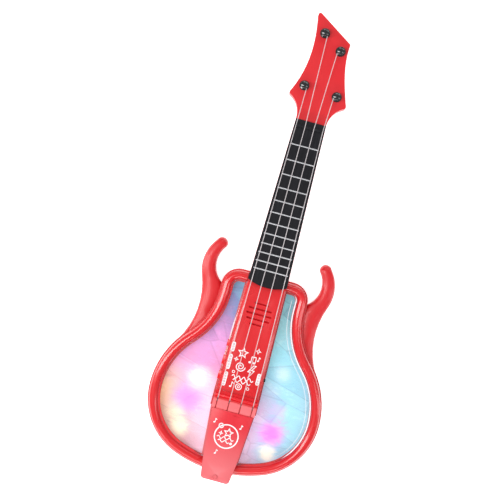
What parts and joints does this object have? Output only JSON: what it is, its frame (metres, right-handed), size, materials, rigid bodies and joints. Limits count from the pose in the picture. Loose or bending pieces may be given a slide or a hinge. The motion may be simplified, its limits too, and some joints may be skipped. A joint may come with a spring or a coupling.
{
  "type": "toy electric guitar",
  "caption": "Toy four-string guitar with a lit see-through body, two horns, black fretboard, tuning pegs, push buttons and a power switch.",
  "frame": {"origin": "on the flat back, in line with the neck's middle and level with the widest part of the body", "axes": "+Y up the neck, +Z out of the front, +X to the right seen from the front"},
  "size_m": [0.187, 0.5067, 0.0501],
  "materials": {
    "red_case": "glossy",
    "red_back": "glossy",
    "window_clear": "clear",
    "rainbow_film_left": "iridescent",
    "rainbow_film_right": "iridescent",
    "black_board": "matte",
    "fret_grey": "satin",
    "peg_black": "glossy",
    "string_clear": "glossy",
    "button_red": "glossy",
    "switch_black": "matte",
    "circuit_green": "satin",
    "switch_steel": "satin",
    "speaker_black": "matte",
    "magnet_steel": "satin",
    "light_lens": "frosted",
    "cell_blue": "satin",
    "contact_steel": "bright",
    "screw_steel": "bright",
    "wire_cover": "matte"
  },
  "bodies": {
    "guitar": {"back_shell": "red_back", "front_rim": "red_case", "horn_left": "red_case", "horn_right": "red_case", "window_left": "window_clear", "window_right": "window_clear", "reflector_left": "rainbow_film_left", "reflector_right": "rainbow_film_right", "middle_bar": "red_case", "bridge": "red_case", "tailpiece": "red_case", "tail_screw": "red_case", "neck_back": "red_case", "fretboard": "black_board", "nut": "black_board", "frets": "fret_grey", "headstock_front": "red_case", "headstock_back": "red_back", "collars": "peg_black", "string_1": "string_clear", "string_2": "string_clear", "string_3": "string_clear", "string_4": "string_clear", "button_switches": "switch_black", "switch_body": "switch_steel", "circuit_board": "circuit_green", "sound_chip": "switch_black", "board_screws": "screw_steel", "speaker_frame": "speaker_black", "speaker_magnet": "magnet_steel", "speaker_cone": "speaker_black", "light_boards": "circuit_green", "lights": "light_lens", "batteries": "cell_blue", "battery_contacts": "contact_steel", "battery_springs": "contact_steel", "case_screws": "screw_steel", "neck_screws": "screw_steel", "wires": "wire_cover"},
    "peg_1": {"peg_post_1": "peg_black", "peg_knob_1": "peg_black", "string_coil_1": "string_clear"},
    "peg_2": {"peg_post_2": "peg_black", "peg_knob_2": "peg_black", "string_coil_2": "string_clear"},
    "peg_3": {"peg_post_3": "peg_black", "peg_knob_3": "peg_black", "string_coil_3": "string_clear"},
    "peg_4": {"peg_post_4": "peg_black", "peg_knob_4": "peg_black", "string_coil_4": "string_clear"},
    "sound_button_1": {"button_1": "button_red", "button_plunger_1": "switch_black"},
    "sound_button_2": {"button_2": "button_red", "button_plunger_2": "switch_black"},
    "sound_button_3": {"button_3": "button_red", "button_plunger_3": "switch_black"},
    "power_slider": {"switch_knob": "switch_black"},
    "battery_cover": {"battery_door": "red_back", "door_screw": "screw_steel"}
  },
  "joints": [
    {"name": "peg_turn_1", "type": "hinge", "parent": "guitar", "child": "peg_1", "pos_m": [-0.0167, 0.3445, 0.04], "axis": [0, 0, 1], "continuous": true},
    {"name": "peg_turn_2", "type": "hinge", "parent": "guitar", "child": "peg_2", "pos_m": [-0.0099, 0.4033, 0.04], "axis": [0, 0, 1], "continuous": true},
    {"name": "peg_turn_3", "type": "hinge", "parent": "guitar", "child": "peg_3", "pos_m": [0.0109, 0.3888, 0.04], "axis": [0, 0, 1], "continuous": true},
    {"name": "peg_turn_4", "type": "hinge", "parent": "guitar", "child": "peg_4", "pos_m": [0.0194, 0.3413, 0.04], "axis": [0, 0, 1], "continuous": true},
    {"name": "button_press_1", "type": "slide", "parent": "guitar", "child": "sound_button_1", "axis": [1, 0, 0], "range_m": [0, 0.0012], "stiffness_N_per_m": 400, "springref_m": -0.001},
    {"name": "button_press_2", "type": "slide", "parent": "guitar", "child": "sound_button_2", "axis": [1, 0, 0], "range_m": [0, 0.0012], "stiffness_N_per_m": 400, "springref_m": -0.001},
    {"name": "button_press_3", "type": "slide", "parent": "guitar", "child": "sound_button_3", "axis": [1, 0, 0], "range_m": [0, 0.0012], "stiffness_N_per_m": 400, "springref_m": -0.001},
    {"name": "power_slide", "type": "slide", "parent": "guitar", "child": "power_slider", "axis": [0, 1, 0], "range_m": [-0.002, 0.002]},
    {"name": "cover_lift", "type": "slide", "parent": "guitar", "child": "battery_cover", "axis": [0, 0, -1], "range_m": [0, 0.02]}
  ]
}
